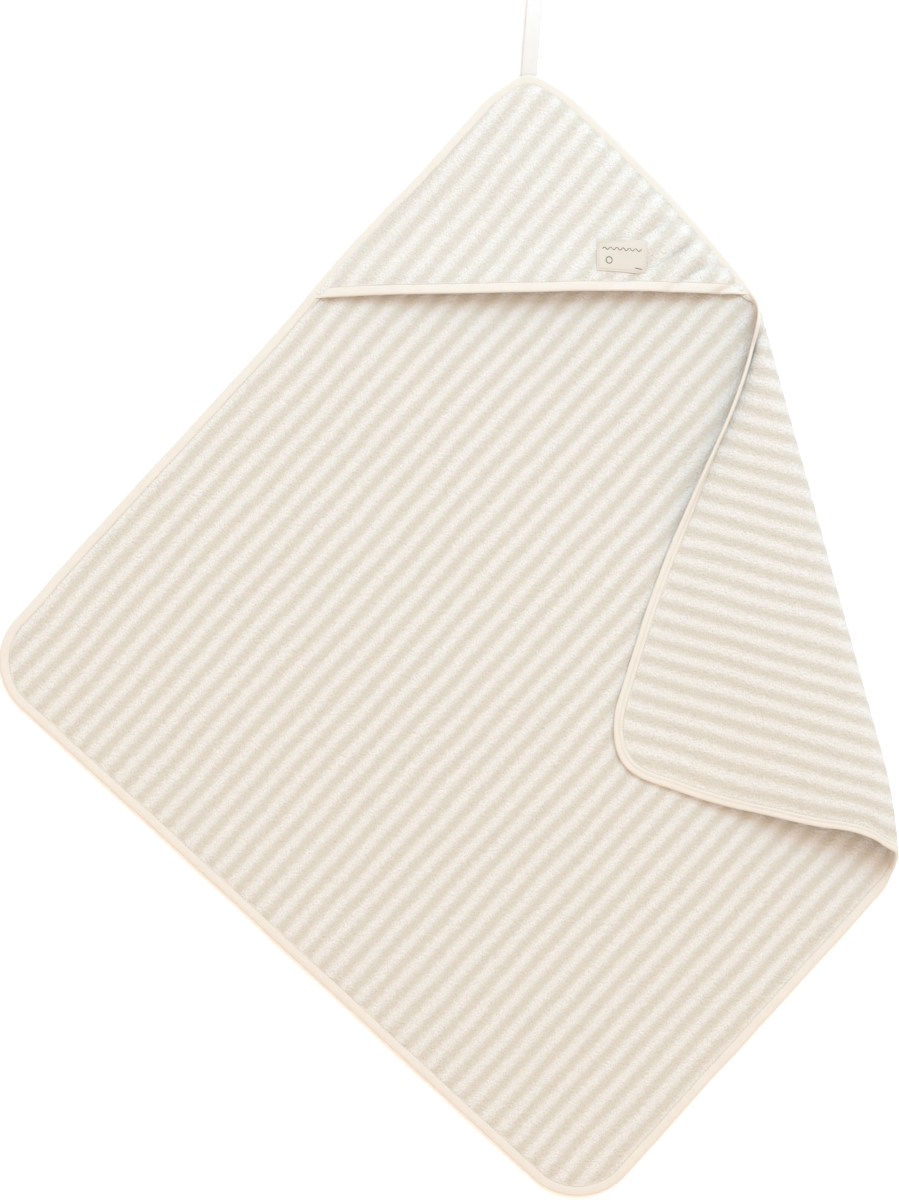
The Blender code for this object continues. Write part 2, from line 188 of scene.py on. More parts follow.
# Seams. Insets are from the towel's edge; each stitch is a short arched capsule of thread.
SEAM_INSET = 0.0088
BACK_SEAM_INSET = 0.0048
SEAM_DIP = 0.00045
STITCH_PITCH = 0.0034
STITCH_START = 0.12
STITCH_SHARE = 0.76
STITCH_RADIUS = 0.00032
STITCH_ARCH = 0.00018
STITCH_SINK = 0.00008
STITCH_FLATNESS = 0.8
STITCH_TIP = 0.12
STITCH_POINTS = 7
THREAD_SIDES = 6

# The label, its seam and its marks. Places on it are from its centre.
LABEL_GRID = (50, 30)
LABEL_LIFT = 0.0006
LABEL_HALF = 0.00025
LABEL_RISE = 0.0004
LABEL_RISE_WIDTH = 0.004
LABEL_UNEVEN = (0.00015, 0.009, 51)
LABEL_SEAM_INSET = 0.0020
LABEL_SEAM_SINK = 0.0002
LABEL_STITCH = 0.0021
LABEL_STITCH_SPAN = (0.1, 0.85)
MARK_RADIUS = 0.00034
MARK_LIFT = 0.00005
MARK_FLATNESS = 0.5
WAVE_SPAN = (-0.019, 0.020)
WAVE_HEIGHT = 0.0062
WAVE_DEPTH = 0.0011
WAVE_PITCH = 0.0062
WAVE_POINTS = 90
RING_CENTRE = (-0.0125, -0.0045)
RING_RADIUS = 0.0031
RING_TURN = 2 * math.pi * 0.98
RING_POINTS = 40
BAR_SPAN = (0.0135, 0.0200)
BAR_HEIGHT = -0.0105
BAR_POINTS = 12

# The hanging loop: heights of its lower tape at the edge and beyond, and of its upper tape.
LOOP_TUCK = 0.006
LOOP_STEPS = 60
LOOP_HALF = 0.0004
LOOP_END = LOOP_LENGTH - LOOP_HALF
LOOP_TURN = 0.0040
LOOP_TURN_POINTS = 13
LOOP_ROOT_HEIGHT = 0.0016
LOOP_HEIGHT = 0.0006
LOOP_DROP = 0.020
LOOP_GAP = 0.0011
LOOP_PUFF = 0.0085
LOOP_PUFF_START = 0.004
LOOP_PUFF_SHAPE = 0.7
LOOP_WIDTH_POINTS = 11
LOOP_EDGE_THINNING = 0.35
LOOP_EDGE_POWER = 6

# Colours.
BEIGE = (0.642, 0.594, 0.514)
HOOD_BEIGE = (0.655, 0.613, 0.542)
OFF_WHITE = (0.763, 0.744, 0.708)
PILE_SHADE = 0.86
CREAM = (0.698, 0.655, 0.592)
CREAM_WORN = (0.640, 0.594, 0.526)
WHITE = (0.700, 0.686, 0.664)
WHITE_WORN = (0.645, 0.630, 0.606)
LABEL_CREAM = (0.615, 0.565, 0.497)
LABEL_WORN = (0.560, 0.508, 0.438)
INK = (0.06, 0.055, 0.05)
INK_WORN = (0.12, 0.11, 0.10)
# Thread colours: the thread's own cream tone, painted darker in the grooves between its
# twisted plies and paler on their ridges, which is painted shade.
THREAD_SHADED_TONE = (0.56, 0.50, 0.41)
THREAD_LIT_TONE = (0.70, 0.65, 0.57)
FLOOR_COLOUR = (0.97, 0.97, 0.97, 1.0)
SOFT_LIGHT = (1.0, 0.840, 0.725)
KEY_LIGHT = (0.34, 0.72, 1.0)

# Materials. The MIX values are places of a colour Mix node's sockets. A finish is roughness
# and sheen, a grain is a noise's scale per metre, detail and roughness, and a bump is its
# depth and strength. Each rag moves the stripes' edges: it is a grain and how far it
# reaches, in stripe periods.
MIX_FACTOR = 0
MIX_COLOURS = (6, 7)
MIX_RESULT = 2
SPECULAR = 0.2
SHEEN_ROUGHNESS = 0.6
TERRY_FINISH = (0.95, 0.2)
RAGS = ((560.0, 3.0, 0.65, 0.44), (170.0, 2.0, 0.50, 0.30), (14.0, 1.0, 0.50, 0.20))
STRIPE_CONTRAST = 0.62
FLECK_GRAIN = (620.0, 4.0, 0.8)
FLECK_GAIN = 2.4
FLECK_START = 1.05
PILE_GRAIN = (300.0, 4.0, 0.8)
TUFT_SCALE = 480.0
TUFT_SHARE = 0.45
TERRY_BUMP = (0.0026, 0.75)
TAPE_FINISH = (0.85, 0.15)
ROW_SPREAD = 1.4
ROW_SHARE = 0.3
FIBRE_GRAIN = (1500.0, 2.0)
KNIT_SHARE = 0.35
WORN_GRAIN = (90.0, 3.0)
WORN_SHARE = 0.8
TAPE_BUMP = (0.00025, 0.6)
THREAD_FINISH = (0.8, 0.1)
TWIST_ALONG = 9000.0
TWIST_ROUND = 7000.0
# PLY_SHADE is how far the painted shade of the plies swings the thread's colour.
PLY_SHADE = 0.2
THREAD_BUMP = (0.00008, 0.5)
FLOOR_ROUGHNESS = 0.9

# Distance from rib to rib of the cream, white and label tapes.
CREAM_RIB = 0.0009
WHITE_RIB = 0.0011
LABEL_RIB = 0.0006

# The studio: half the floor's side, the lights' places, sizes and powers, and the view.
FLOOR_HALF = 6.0
WORLD_STRENGTH = 1.235
KEY_PLACE = (1.0, 2.6, 2.8)
KEY_SIZE = 2.4
KEY_POWER = 104.0
FILL_PLACE = (-2.4, -1.2, 2.8)
FILL_SIZE = 2.2
FILL_POWER = 3.0
CAMERA_HEIGHT = 3.0
CAMERA_SENSOR = 36.0
VIEW_HEIGHT = 1.166
VIEW_CENTRE = (-0.0034, -0.0098)


def smooth(value):
    """Ease from 0 to 1 as value goes from 0 to 1."""
    value = np.clip(value, 0.0, 1.0)
    return value * value * (3.0 - 2.0 * value)


def noise(x, y, cell, seed):
    """Smooth noise from -1 to 1 with features as large as cell."""
    lattice = np.random.default_rng(seed).uniform(-1.0, 1.0, (LATTICE, LATTICE))
    column = np.asarray(x) / cell + LATTICE / 2
    row = np.asarray(y) / cell + LATTICE / 2
    i = np.floor(column).astype(int)
    j = np.floor(row).astype(int)
    s = smooth(column - i)
    t = smooth(row - j)
    i, i_next = i % LATTICE, (i + 1) % LATTICE
    j, j_next = j % LATTICE, (j + 1) % LATTICE
    near = lattice[i, j] * (1 - s) + lattice[i_next, j] * s
    far = lattice[i, j_next] * (1 - s) + lattice[i_next, j_next] * s
    return near * (1 - t) + far * t


def layered(x, y, layers):
    """Sum of noises; each layer gives a size, a feature size and a seed."""
    return sum(size * noise(x, y, cell, seed) for size, cell, seed in layers)


# ---------------------------------------------------------------- where the cloth lies

def spread(u, v):
    """Fold coordinates of cloth points on the unfolded towel."""
    pull = PULL_DEPTH * np.exp(-((v - PULL_CENTRE) / PULL_ALONG) ** 2)
    pull = pull * np.exp(-((HALF - u) / PULL_ACROSS) ** 2)
    turn = FOLD_TILT - TILT
    along = (u - pull) * math.cos(turn) - v * math.sin(turn)
    across = (u - pull) * math.sin(turn) + v * math.cos(turn) - FOLD_OFFSET
    return along, across


def roll_radius(along):
    """Radius of the roll's middle surface at a place along the crease."""
    start, small = ROLL_HOOD_END
    end, large = ROLL_OPEN_END
    return small + (large - small) * (along - start) / (end - start)


def rolled(u, v):
    """How far cloth points have gone round the roll: 0 at its start, 1 at its end."""
    along, across = spread(u, v)
    radius = roll_radius(along)
    return across / (math.pi * radius) + 0.5


def world_xy(along, out):
    """Floor position of fold coordinates, with the fold's pointed end drawn in and rounded."""
    across = out + FOLD_OFFSET
    x = TOWEL_CENTRE[0] + along * math.cos(FOLD_TILT) + across * math.sin(FOLD_TILT)
    y = TOWEL_CENTRE[1] + along * math.sin(FOLD_TILT) - across * math.cos(FOLD_TILT)
    beyond = np.maximum(x - NOSE_START, 0.0)
    x = x - beyond + NOSE_DEPTH * (1.0 - np.exp(-beyond / NOSE_DEPTH))
    return x, y


def wander(u, v):
    """Small shifts within the cloth, so that no edge is quite straight."""
    return u + layered(u, v, WANDER_U), v + layered(u, v, WANDER_V)


def swell(x, y, across):
    """How far the cloth stands off a quite flat floor, never below it."""
    near, far = CREASE_CALM
    calm = smooth((np.abs(across) - near) / (far - near))
    waves = (size * (0.5 + 0.5 * noise(x, y, cell, seed)) for size, cell, seed in SWELL)
    return calm * sum(waves)


def nudged(x, y, push, share):
    """Floor positions moved by a push that fades away from its centre."""
    centre, widths, shift = push
    away = ((x - centre[0]) / widths[0]) ** 2 + ((y - centre[1]) / widths[1]) ** 2
    near = share * np.exp(-away)
    return x + near * shift[0], y + near * shift[1]


def standing(u, v):
    """Drawn-in u and height of the cloth, whose edge strip stands up beside the hood."""
    rise, full, fade, down = STAND_SPAN
    share = smooth((v - rise) / (full - rise)) * (1.0 - smooth((v - fade) / (down - fade)))
    from_edge = HALF - u
    tilt = STAND_TILT * share
    gathered = STAND_WIDTH * (1.0 - np.cos(tilt))
    in_strip = np.minimum(from_edge, STAND_WIDTH) * (1.0 - np.cos(tilt))
    beyond = np.clip((from_edge - STAND_WIDTH) / STAND_REACH, 0.0, 1.0)
    drawn = np.where(from_edge < STAND_WIDTH, in_strip, gathered * (1.0 - beyond) ** 2)
    height = STAND_WIDTH - from_edge
    height = (height + np.sqrt(height ** 2 + STAND_CREASE ** 2)) / 2
    return u + drawn, height * np.sin(tilt)


def lying(u, v):
    """World points of the cloth's middle surface on the lying, folded towel."""
    u, v = wander(u, v)
    u, raised = standing(u, v)
    along, across = spread(u, v)
    radius = roll_radius(along)
    start = -radius * math.pi / 2
    reach = across - start
    slant = np.clip(reach / radius, 0.0, math.pi)
    past = np.maximum(reach - math.pi * radius, 0.0)
    settle = np.clip(SETTLE_SLOPE * (SETTLE_TIP - along), SETTLE_SHORTEST, SETTLE_LENGTH)
    share = smooth(past / settle)
    out = start + np.minimum(reach, 0.0) + radius * np.sin(slant) - past
    lift = radius * (1.0 - np.cos(slant)) - (2.0 * radius - REST_HEIGHT) * share
    x, y = world_xy(along, out)
    for push in (TOP_NUDGE, SIDE_NUDGE, LEFT_NUDGE):
        x, y = nudged(x, y, push, 1.0)
    on_flap = smooth(past / FLAP_START)
    for push in (CORNER_NUDGE, HEM_NUDGE, END_NUDGE):
        x, y = nudged(x, y, push, on_flap)
    z = CLOTH / 2 + lift + raised * smooth(slant / math.pi) + swell(x, y, out)
    return np.stack([x, y, z], axis=-1)


def off_surface(surface, u, v, height):
    """Points at heights off a surface, square to it; positive heights are on the front."""
    u, v, height = np.broadcast_arrays(u, v, height)
    along_u = surface(u + PROBE, v) - surface(u - PROBE, v)
    along_v = surface(u, v + PROBE) - surface(u, v - PROBE)
    normal = np.cross(along_v, along_u)
    normal /= np.linalg.norm(normal, axis=-1, keepdims=True)
    return surface(u, v) + normal * height[..., None]


def laid(u, v, height):
    """World points of the towel, at heights off the cloth's middle surface."""
    return off_surface(lying, u, v, height)


def half_thickness(inset):
    """Half the cloth's thickness: pressed thin inside a binding, full beyond it."""
    low, high = PRESS_RAMP
    return PRESSED_HALF + (CLOTH / 2 - PRESSED_HALF) * smooth((inset - low) / (high - low))


def edge_inset(u, v):
    """Distance of cloth points from the towel's edge, with its rounded corners."""
    centre = HALF - CORNER_RADIUS
    over_u = np.abs(u) - centre
    over_v = np.abs(v) - centre
    round_part = np.hypot(np.maximum(over_u, 0.0), np.maximum(over_v, 0.0))
    return CORNER_RADIUS - round_part - np.minimum(np.maximum(over_u, over_v), 0.0)


def hood_insets(u, v):
    """Distances of hood points from its left and right sewn legs."""
    return HALF + v, HALF - u


def hood_wrinkles(u, v):
    """Gathers of the hood where the towel is pulled in at its right end."""
    left, right = hood_insets(u, v)
    near_end = np.exp(-((left - GATHER_CENTRE) / GATHER_SPREAD) ** 2)
    near_leg = smooth(right / GATHER_START) * np.exp(-np.maximum(right, 0.0) / GATHER_REACH)
    bend = left + GATHER_SLANT * right + layered(u, v, (GATHER_BEND,))
    wave = 0.5 - 0.5 * np.sin(bend * 2 * math.pi / GATHER_PITCH)
    ridges = 1.0 - GROOVE_SHARE * wave ** 4
    loose = layered(u, v, LOOSE) * smooth(np.minimum(left, right) / LOOSE_START)
    return GATHER_DEPTH * near_end * near_leg * ridges + loose


def hood_lying(u, v):
    """World points of the hood's middle surface, which arches towards its mouth."""
    left, right = hood_insets(u, v)
    half = half_thickness(edge_inset(u, v))
    arch = HOOD_ARCH * np.clip(4.0 * left * right / HOOD_LEG ** 2, 0.0, None)
    points = lying(u, v)
    ripple = np.maximum(hood_wrinkles(u, v), -LOWEST_RIPPLE * arch)
    ripple = ripple * np.clip(arch / ARCH_START, 0.0, 1.0)
    points[..., 2] += 2.0 * half + HOOD_CLEARANCE + arch + ripple
    return points


def hooded(u, v, height):
    """World points of the hood, at heights off its middle surface."""
    return off_surface(hood_lying, u, v, height)


# ---------------------------------------------------------------- the towel's edge line

def edge_line(distance, inset):
    """Cloth points at distances along the edge from the right corner, at insets from it."""
    distance = np.asarray(distance, float)
    quarter = np.floor(distance / QUARTER)
    rest = distance - quarter * QUARTER
    middle = HALF - CORNER_RADIUS
    straight = np.clip(rest - HALF_ARC, 0.0, STRAIGHT)
    turn = (np.minimum(rest, HALF_ARC) + np.maximum(rest - HALF_ARC - STRAIGHT, 0.0))
    angle = math.pi / 4 + turn / CORNER_RADIUS
    radius = CORNER_RADIUS - inset
    u = middle - straight + radius * np.cos(angle)
    v = middle + radius * np.sin(angle)
    turns = quarter * math.pi / 2
    return u * np.cos(turns) - v * np.sin(turns), u * np.sin(turns) + v * np.cos(turns)


def crossing(low, high, turns, inset):
    """Distance along the edge where the cloth has gone round the roll by turns."""
    rising = rolled(*edge_line(high, inset)) > turns
    for _ in range(HALVINGS):
        middle = (low + high) / 2
        if (rolled(*edge_line(middle, inset)) > turns) == rising:
            high = middle
        else:
            low = middle
    return (low + high) / 2


OPEN_START = crossing(0.0, QUARTER, 1.0, BINDING_WIDTH) - RUN_OVERLAP
OPEN_END = crossing(0.0, QUARTER, 0.0, -TAPE) + RUN_OVERLAP
HOOD_START = crossing(-QUARTER, 0.0, 0.0, -TAPE) - RUN_OVERLAP
HOOD_END = crossing(-QUARTER, 0.0, 1.0, BINDING_WIDTH) + RUN_OVERLAP
RUNS = {
    "edge": (OPEN_END, PERIMETER + HOOD_START),
    "fold_open": (OPEN_START, OPEN_END),
    "fold_hood": (HOOD_START, HOOD_END),
    "corner": (HOOD_END, OPEN_START),
}


# ---------------------------------------------------------------- meshes

def mesh_object(name, points, faces, maps, sharp=None):
    """Smooth-shaded object; maps holds named pairs of coordinates for each point."""
    mesh = bpy.data.meshes.new(name)
    mesh.from_pydata(np.asarray(points).reshape(-1, 3).tolist(), [], faces)
    loops = np.empty(len(mesh.loops), dtype=np.int32)
    mesh.loops.foreach_get("vertex_index", loops)
    for label, values in maps.items():
        layer = mesh.uv_layers.new(name=label)
        pairs = np.asarray(values, dtype=np.float32).reshape(-1, 2)[loops]
        layer.data.foreach_set("uv", pairs.ravel())
    mesh.polygons.foreach_set("use_smooth", np.ones(len(mesh.polygons), dtype=bool))
    if sharp is not None:
        ends = np.empty(2 * len(mesh.edges), dtype=np.int32)
        mesh.edges.foreach_get("vertices", ends)
        flags = np.asarray(sharp, dtype=bool)[ends.reshape(-1, 2)].all(axis=1)
        mesh.attributes.new("sharp_edge", "BOOLEAN", "EDGE").data.foreach_set("value", flags)
    solid = bmesh.new()
    solid.from_mesh(mesh)
    if solid.calc_volume(signed=True) < 0.0:
        mesh.flip_normals()
    solid.free()
    mesh.update()
    made = bpy.data.objects.new(name, mesh)
    bpy.context.scene.collection.objects.link(made)
    return made


def cell_corners(grid):
    """The four corners of every grid cell, in order round the cell."""
    return grid[:-1, :-1], grid[1:, :-1], grid[1:, 1:], grid[:-1, 1:]


def slab(name, u, v, keep, place, half, stripe):
    """Closed cloth over the kept cells of a grid, reaching half either way off its middle."""
    index = np.arange(u.size).reshape(u.shape)
    cells = np.stack([corner[keep] for corner in cell_corners(index)], axis=-1)
    used, cells = np.unique(cells, return_inverse=True)
    cells = cells.reshape(-1, 4)
    us = u.ravel()[used]
    vs = v.ravel()[used]
    thickness = half.ravel()[used]
    front = place(us, vs, thickness)
    back = place(us, vs, -thickness)
    count = len(used)
    edges = np.concatenate([cells[:, [i, (i + 1) % 4]] for i in range(4)])
    ordered = np.sort(edges, axis=1)
    _, first, uses = np.unique(ordered, axis=0, return_index=True, return_counts=True)
    rim = edges[first[uses == 1]]
    faces = cells[:, ::-1].tolist() + (cells + count).tolist()
    faces += np.column_stack([rim, rim[:, ::-1] + count]).tolist()
    border = np.zeros(2 * count, dtype=bool)
    border[rim] = True
    border[rim + count] = True
    flat = np.stack([us, vs], axis=-1)
    banded = np.stack([stripe(us, vs), np.ones(count)], axis=-1)
    behind = np.stack([stripe(us, vs), np.zeros(count)], axis=-1)
    maps = {
        "cloth": np.concatenate([flat, flat + SIDE]),
        "stripe": np.concatenate([banded, behind]),
    }
    return mesh_object(name, np.concatenate([front, back]), faces, maps, border)


def tube_quads(index):
    """Faces between neighbouring rings of points, from an array of point numbers."""
    nxt = np.roll(index, -1, axis=1)
    return np.stack([index[:-1], nxt[:-1], nxt[1:], index[1:]], axis=-1).reshape(-1, 4)


def sweep(name, rings, across, lengths):
    """Closed tube through rings of points; maps hold the length and the place across."""
    count, around = rings.shape[:2]
    index = np.arange(count * around).reshape(count, around)
    faces = tube_quads(index).tolist()
    faces += [index[0, ::-1].tolist(), index[-1].tolist()]
    length = np.repeat(np.asarray(lengths)[:, None], around, axis=1)
    place = np.repeat(np.asarray(across)[None, :], count, axis=0)
    maps = {"tape": np.stack([length, place], axis=-1)}
    ends = np.zeros((count, around), dtype=bool)
    ends[[0, -1]] = True
    return mesh_object(name, rings, faces, maps, ends.ravel())


def tape_section():
    """Cross-section of the folded tape as (inset, height) pairs, and the place across it."""
    depth, spread_out = SEAM_GROOVE
    flat = np.linspace(BINDING_WIDTH, NOSE_INSET, FLAT_POINTS)
    dip = depth * np.exp(-((flat - SEAM_INSET) / spread_out) ** 2)
    back_dip = depth * np.exp(-((flat - BACK_SEAM_INSET) / spread_out) ** 2)
    puff = TAPE_PUFF * np.sin(math.pi * np.clip(flat / SEAM_INSET, 0.0, 1.0))
    press = TAPE_PRESS * smooth((flat - SEAM_INSET) / (BINDING_WIDTH - SEAM_INSET))
    top = BINDING_HALF - TAPE_SINK - dip + puff - press
    turn = np.linspace(0.0, math.pi, NOSE_POINTS)[1:-1]
    nose_inset = NOSE_INSET - NOSE_BULGE * np.sin(turn)
    nose_height = top[-1] * np.cos(turn)
    inner = np.linspace(BINDING_WIDTH, INNER_REACH, INNER_POINTS)
    inner_height = np.full(INNER_POINTS, TAPE_INNER)
    inset = np.concatenate([flat, nose_inset, flat[::-1], inner, inner[::-1]])
    height = [top, nose_height, (back_dip - top)[::-1], -inner_height, inner_height]
    height = np.concatenate(height)
    reach = np.concatenate([[0.0], np.cumsum(np.hypot(np.diff(inset), np.diff(height)))])
    return inset, height, reach


def hood_share(distance):
    """1 where the edge also holds the hood's legs, 0 elsewhere, with soft ends."""
    top_corner = 3 * QUARTER
    leg = HOOD_LEG - CORNER_RADIUS + HALF_ARC
    beyond = np.abs((distance % PERIMETER) - top_corner) - leg
    return 1.0 - smooth(beyond / HOOD_SHARE_RAMP + HOOD_SHARE_START)


def pucker(length, seed):
    """How much the tape's thickness varies along it, with its stitches and at random."""
    drawn = 1.0 + PUCKER_SHARE * np.cos(length * 2 * math.pi / STITCH_PITCH)
    return drawn + PUCKER_NOISE * noise(length, length * 0.0, PUCKER_CELL, seed)


def build_binding(name, run):
    """The edge tape over one run of the edge."""
    first, last = RUNS[run]
    count = int((last - first) / BINDING_STEP)
    distance = np.linspace(first, last, count)
    inset, height, across = tape_section()
    grid_distance = np.repeat(distance[:, None], len(inset), axis=1)
    grid_inset = np.repeat(inset[None, :], count, axis=0)
    grid_height = height[None, :] * pucker(distance, EDGE_PUCKER_SEED)[:, None]
    extra = HOOD_LAYER * hood_share(distance)[:, None] * (height > 0)[None, :]
    u, v = edge_line(grid_distance, grid_inset)
    rings = laid(u, v, grid_height + extra)
    return sweep(name, rings, across, distance)


def stitches(name, starts, ends, ups):
    """Row of thread stitches, each an arched capsule that dips in at both ends."""
    along = np.linspace(0.0, 1.0, STITCH_POINTS)
    turn = np.linspace(0.0, 2 * math.pi, THREAD_SIDES + 1)[:-1]
    rise = np.sin(along * math.pi) * STITCH_ARCH - STITCH_SINK
    fat = STITCH_RADIUS * np.sqrt(np.clip(1.0 - (2 * along - 1) ** 2, STITCH_TIP, 1.0))
    direction = ends - starts
    length = np.linalg.norm(direction, axis=1, keepdims=True)
    direction = direction / length
    side = np.cross(direction, ups)
    side /= np.linalg.norm(side, axis=1, keepdims=True)
    up = np.cross(side, direction)
    spine = starts[:, None, :] + (ends - starts)[:, None, :] * along[None, :, None]
    spine = spine + up[:, None, :] * rise[None, :, None]
    ring = (side[:, None, None, :] * np.cos(turn)[None, None, :, None]
            + up[:, None, None, :] * np.sin(turn)[None, None, :, None] * STITCH_FLATNESS)
    points = spine[:, :, None, :] + ring * fat[None, :, None, None]
    count = len(starts)
    size = len(along) * len(turn)
    index = np.arange(size).reshape(len(along), len(turn))
    first_points = np.arange(count) * size
    quads = tube_quads(index)[:, ::-1]
    faces = (quads[None] + first_points[:, None, None]).reshape(-1, 4).tolist()
    for cap in (index[0], index[-1, ::-1]):
        faces += (cap[None] + first_points[:, None]).tolist()
    length_map = np.repeat(along, len(turn)) * STITCH_SHARE * STITCH_PITCH
    turn_map = np.tile(turn, len(along)) * STITCH_RADIUS
    pairs = np.tile(np.stack([length_map, turn_map], axis=-1), (count, 1))
    return mesh_object(name, points, faces, {"tape": pairs})


def seam_on(name, place, first, last, pitch, side=1, insets=(SEAM_INSET,)):
    """Stitches along a line that place(distance, inset, height) gives, on one side."""
    count = int((last - first) / pitch)
    begin = first + (np.arange(count) + STITCH_START) * (last - first) / count
    begin = np.tile(begin, len(insets))
    inset = np.repeat(insets, count)
    height = side * (BINDING_HALF - SEAM_DIP)
    starts = place(begin, inset, height)
    ends = place(begin + STITCH_SHARE * pitch, inset, height)
    below = place(begin, inset, 0.0)
    return stitches(name, starts, ends, starts - below)


def edge_place(distance, inset, height):
    """World points on the edge tape; heights above it rise where the hood is caught in."""
    u, v = edge_line(distance, inset)
    extra = HOOD_LAYER * hood_share(distance) * (np.asarray(height) > 0)
    return laid(u, v, height + extra)


def build_edge_seams(run):
    """Seam of one run of the edge tape: one row on the front and one on the back."""
    first, last = RUNS[run]
    front = seam_on(f"{run}_seam_front", edge_place, first, last, STITCH_PITCH)
    rows = (SEAM_INSET, BACK_SEAM_INSET)
    back = seam_on(f"{run}_seam_back", edge_place, first, last, STITCH_PITCH, -1, rows)
    return front, back


# ---------------------------------------------------------------- materials

class Surface:
    """A Principled material whose nodes are added and linked by short calls."""

    def __init__(self, name, roughness, sheen=0.0):
        self.material = bpy.data.materials.new(name)
        self.material.use_nodes = True
        self.nodes = self.material.node_tree.nodes
        self.links = self.material.node_tree.links
        self.shader = self.nodes["Principled BSDF"]
        self.shader.inputs["Roughness"].default_value = roughness
        self.shader.inputs["Specular IOR Level"].default_value = SPECULAR
        self.shader.inputs["Sheen Weight"].default_value = sheen
        self.shader.inputs["Sheen Roughness"].default_value = SHEEN_ROUGHNESS

    def feed(self, socket, value):
        if isinstance(value, bpy.types.NodeSocket):
            self.links.new(value, socket)
        else:
            socket.default_value = value

    def map(self, name):
        node = self.nodes.new("ShaderNodeUVMap")
        node.uv_map = name
        split = self.nodes.new("ShaderNodeSeparateXYZ")
        self.links.new(node.outputs["UV"], split.inputs[0])
        return node.outputs["UV"], split.outputs["X"], split.outputs["Y"]

    def math(self, operation, first, second=0.0, third=0.0, clamp=False):
        node = self.nodes.new("ShaderNodeMath")
        node.operation = operation
        node.use_clamp = clamp
        for socket, value in zip(node.inputs, (first, second, third)):
            self.feed(socket, value)
        return node.outputs[0]

    def noise(self, vector, scale, detail=2.0, roughness=0.5):
        node = self.nodes.new("ShaderNodeTexNoise")
        self.feed(node.inputs["Vector"], vector)
        node.inputs["Scale"].default_value = scale
        node.inputs["Detail"].default_value = detail
        node.inputs["Roughness"].default_value = roughness
        return node.outputs["Fac"]

    def cells(self, vector, scale):
        node = self.nodes.new("ShaderNodeTexVoronoi")
        self.feed(node.inputs["Vector"], vector)
        node.inputs["Scale"].default_value = scale
        return node.outputs["Distance"]

    def mix(self, factor, first, second):
        node = self.nodes.new("ShaderNodeMix")
        node.data_type = "RGBA"
        self.feed(node.inputs[MIX_FACTOR], factor)
        for place, value in zip(MIX_COLOURS, (first, second)):
            colour = value if isinstance(value, bpy.types.NodeSocket) else (*value, 1.0)
            self.feed(node.inputs[place], colour)
        return node.outputs[MIX_RESULT]

    def bump(self, height, distance, strength):
        node = self.nodes.new("ShaderNodeBump")
        node.inputs["Strength"].default_value = strength
        node.inputs["Distance"].default_value = distance
        self.links.new(height, node.inputs["Height"])
        return node.outputs["Normal"]

    def finish(self, colour, normal):
        self.links.new(colour, self.shader.inputs["Base Color"])
        self.links.new(normal, self.shader.inputs["Normal"])
        return self.material


def terry_material(name, beige, cream):
    """Looped terry with soft, ragged stripes; the stripe map counts periods."""
    surface = Surface(name, *TERRY_FINISH)
    cloth, _, _ = surface.map("cloth")
    _, period, _ = surface.map("stripe")
    for scale, detail, roughness, reach in RAGS:
        rag = surface.noise(cloth, scale, detail, roughness)
        rag = surface.math("MULTIPLY_ADD", rag, reach, -reach / 2)
        period = surface.math("ADD", period, rag)
    phase = surface.math("MULTIPLY", period, 2 * math.pi)
    wave = surface.math("COSINE", phase)
    pale = surface.math("MULTIPLY_ADD", wave, STRIPE_CONTRAST, 0.5, clamp=True)
    colour = surface.mix(pale, beige, cream)
    fleck = surface.noise(cloth, *FLECK_GRAIN)
    depth = surface.math("MULTIPLY_ADD", fleck, FLECK_GAIN, -FLECK_START, clamp=True)
    colour = surface.mix(depth, colour, tuple(PILE_SHADE * part for part in beige))
    tufts = surface.cells(cloth, TUFT_SCALE)
    pile = surface.noise(cloth, *PILE_GRAIN)
    relief = surface.math("MULTIPLY_ADD", tufts, -TUFT_SHARE, pile)
    return surface.finish(colour, surface.bump(relief, *TERRY_BUMP))


def tape_material(name, colour, darker, rib):
    """Knitted tape with fine ribs across its length."""
    surface = Surface(name, *TAPE_FINISH)
    tape, length, across = surface.map("tape")
    row = rib * ROW_SPREAD
    ribs = surface.math("SINE", surface.math("MULTIPLY", length, 2 * math.pi / rib))
    rows = surface.math("SINE", surface.math("MULTIPLY", across, 2 * math.pi / row))
    rows = surface.math("MULTIPLY_ADD", rows, ROW_SHARE, 1.0 - ROW_SHARE)
    knit = surface.math("MULTIPLY", ribs, rows)
    fibres = surface.noise(tape, *FIBRE_GRAIN)
    height = surface.math("MULTIPLY_ADD", knit, KNIT_SHARE, fibres)
    worn = surface.math("MULTIPLY", surface.noise(tape, *WORN_GRAIN), WORN_SHARE)
    tone = surface.mix(worn, colour, darker)
    return surface.finish(tone, surface.bump(height, *TAPE_BUMP))


def thread_material():
    """Twisted cotton sewing thread, with painted shade: its colour is darker in the grooves
    between plies and paler on their ridges.
    """
    surface = Surface("sewing_thread", *THREAD_FINISH)
    _, length, across = surface.map("tape")
    along = surface.math("MULTIPLY", length, TWIST_ALONG)
    twist = surface.math("ADD", along, surface.math("MULTIPLY", across, TWIST_ROUND))
    plies = surface.math("SINE", twist)
    # Painted shade: the colour follows the plies' bump, darker where they sink and paler where
    # they rise.
    shade = surface.math("MULTIPLY_ADD", plies, PLY_SHADE, 0.5)
    tone = surface.mix(shade, THREAD_SHADED_TONE, THREAD_LIT_TONE)
    return surface.finish(tone, surface.bump(plies, *THREAD_BUMP))


# ---------------------------------------------------------------- building the pieces

def give(piece, material, slot, *nodes):
    """Finish a piece: its material and the nodes it stands for; the slot argument is not used.
    """
    piece.data.materials.append(material)
    if nodes:
        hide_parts(*nodes)
    return piece


def towel_stripes(u, v):
    """Stripe count on the towel, whose stripes run along u."""
    return v / STRIPE_PERIOD - STRIPE_PHASE / (2 * math.pi)


